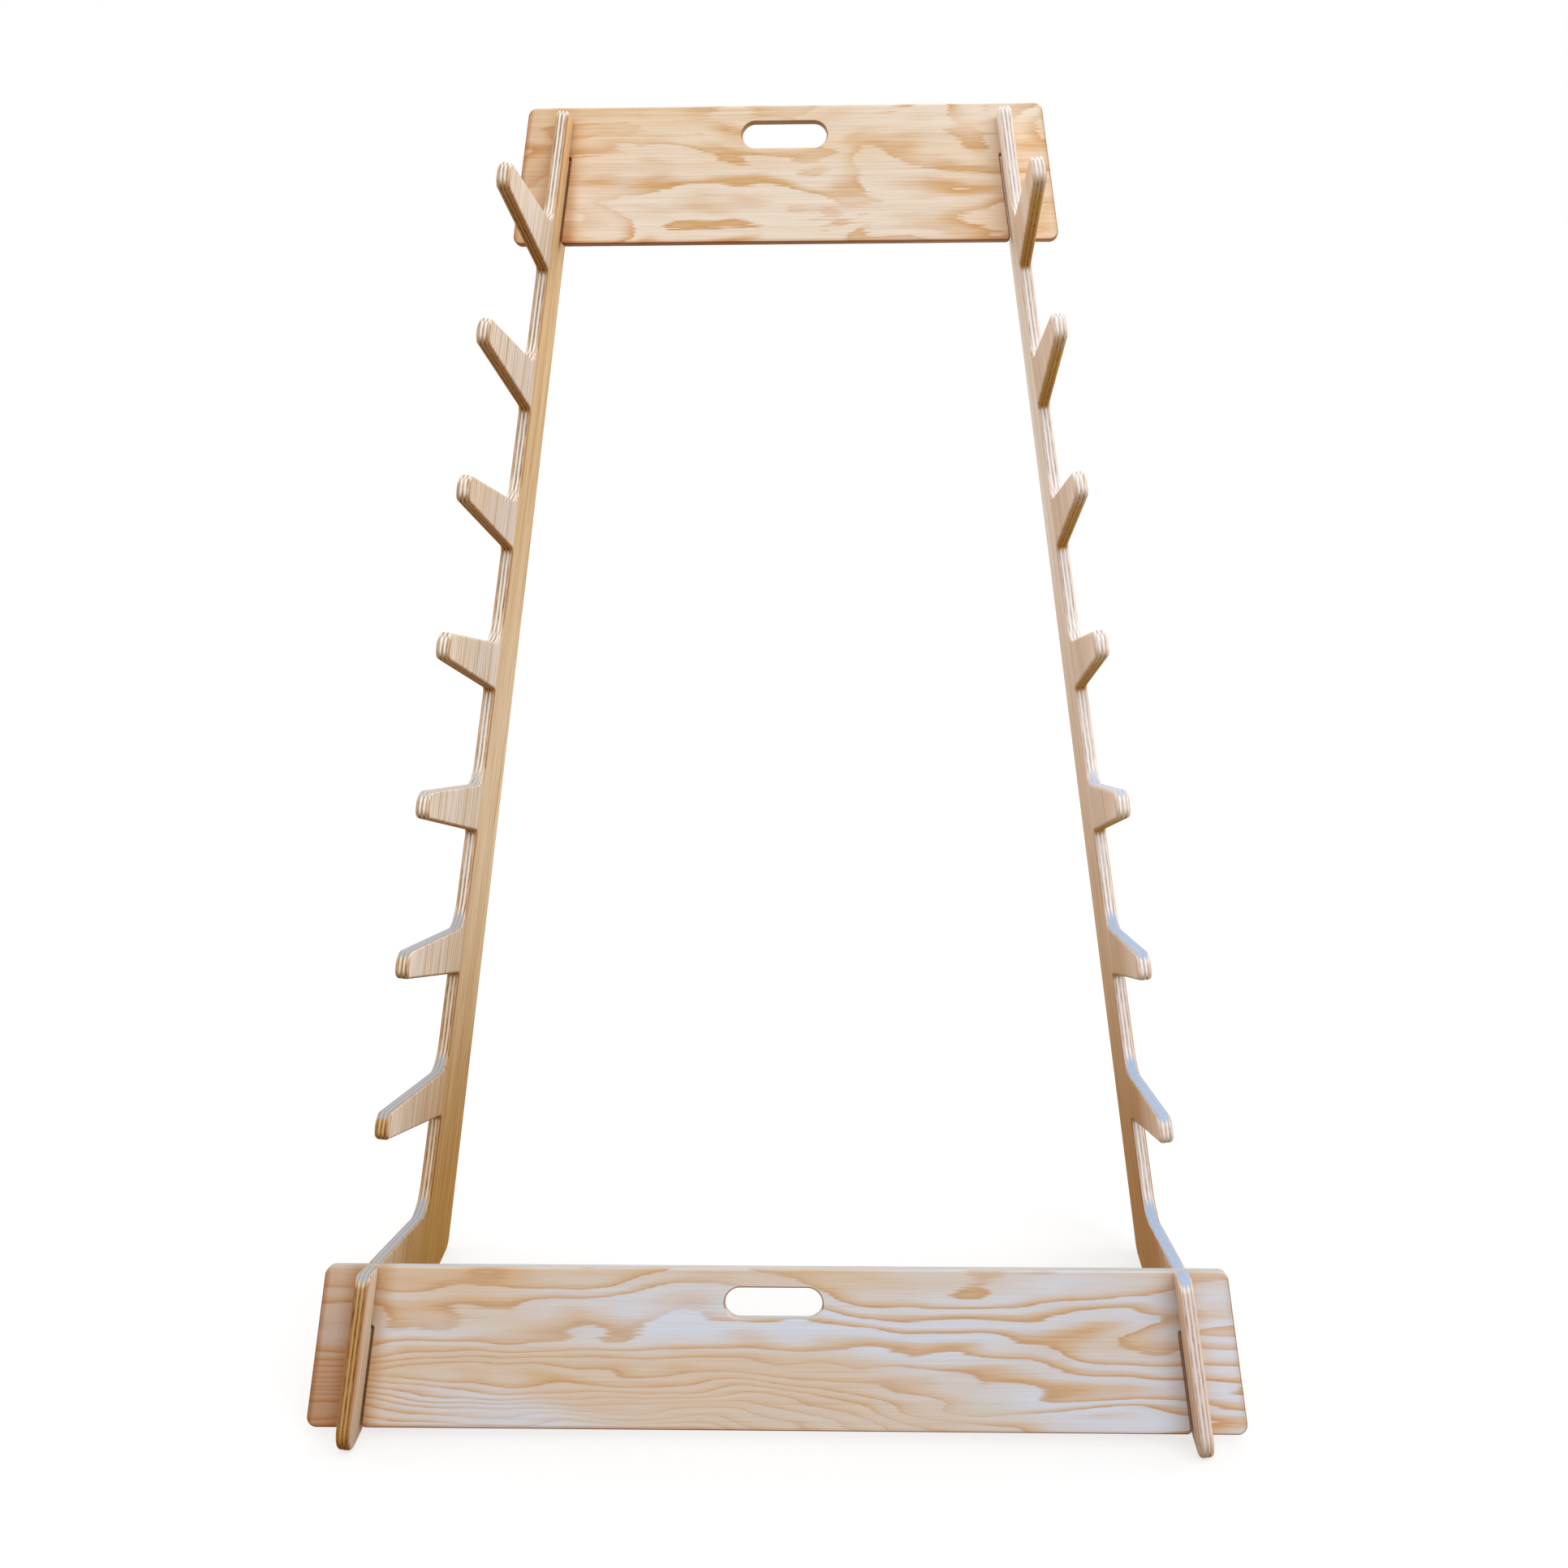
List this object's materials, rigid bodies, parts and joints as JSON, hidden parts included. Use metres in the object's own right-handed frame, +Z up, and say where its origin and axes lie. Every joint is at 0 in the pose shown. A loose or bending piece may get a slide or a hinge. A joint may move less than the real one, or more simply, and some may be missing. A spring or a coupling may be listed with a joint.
{
  "type": "surfboard storage rack",
  "caption": "Free-standing slot-together plywood rack: two slanted comb-shaped uprights with forward fingers hold boards flat, tied by an upper and a lower crossboard with hand holes.",
  "frame": {"origin": "on the floor, midway between the uprights and midway between the foremost and rearmost points", "axes": "+Z up, +X to the right as seen from the front, -Y towards the front where the fingers point"},
  "size_m": [1.1734, 0.8733, 1.6458],
  "materials": {
    "upright_plywood": "satin",
    "crossboard_plywood": "satin"
  },
  "bodies": {
    "crossboards": {"top_crossboard": "crossboard_plywood", "bottom_crossboard": "crossboard_plywood"},
    "left": {"left_upright": "upright_plywood"},
    "right": {"right_upright": "upright_plywood"}
  },
  "joints": [
    {"name": "left_upright_slide", "type": "slide", "parent": "crossboards", "child": "left", "axis": [0.1219, 0.2468, 0.9614], "range_m": [-0.15, 0]},
    {"name": "right_upright_slide", "type": "slide", "parent": "crossboards", "child": "right", "axis": [-0.1219, 0.2468, 0.9614], "range_m": [-0.15, 0]}
  ]
}
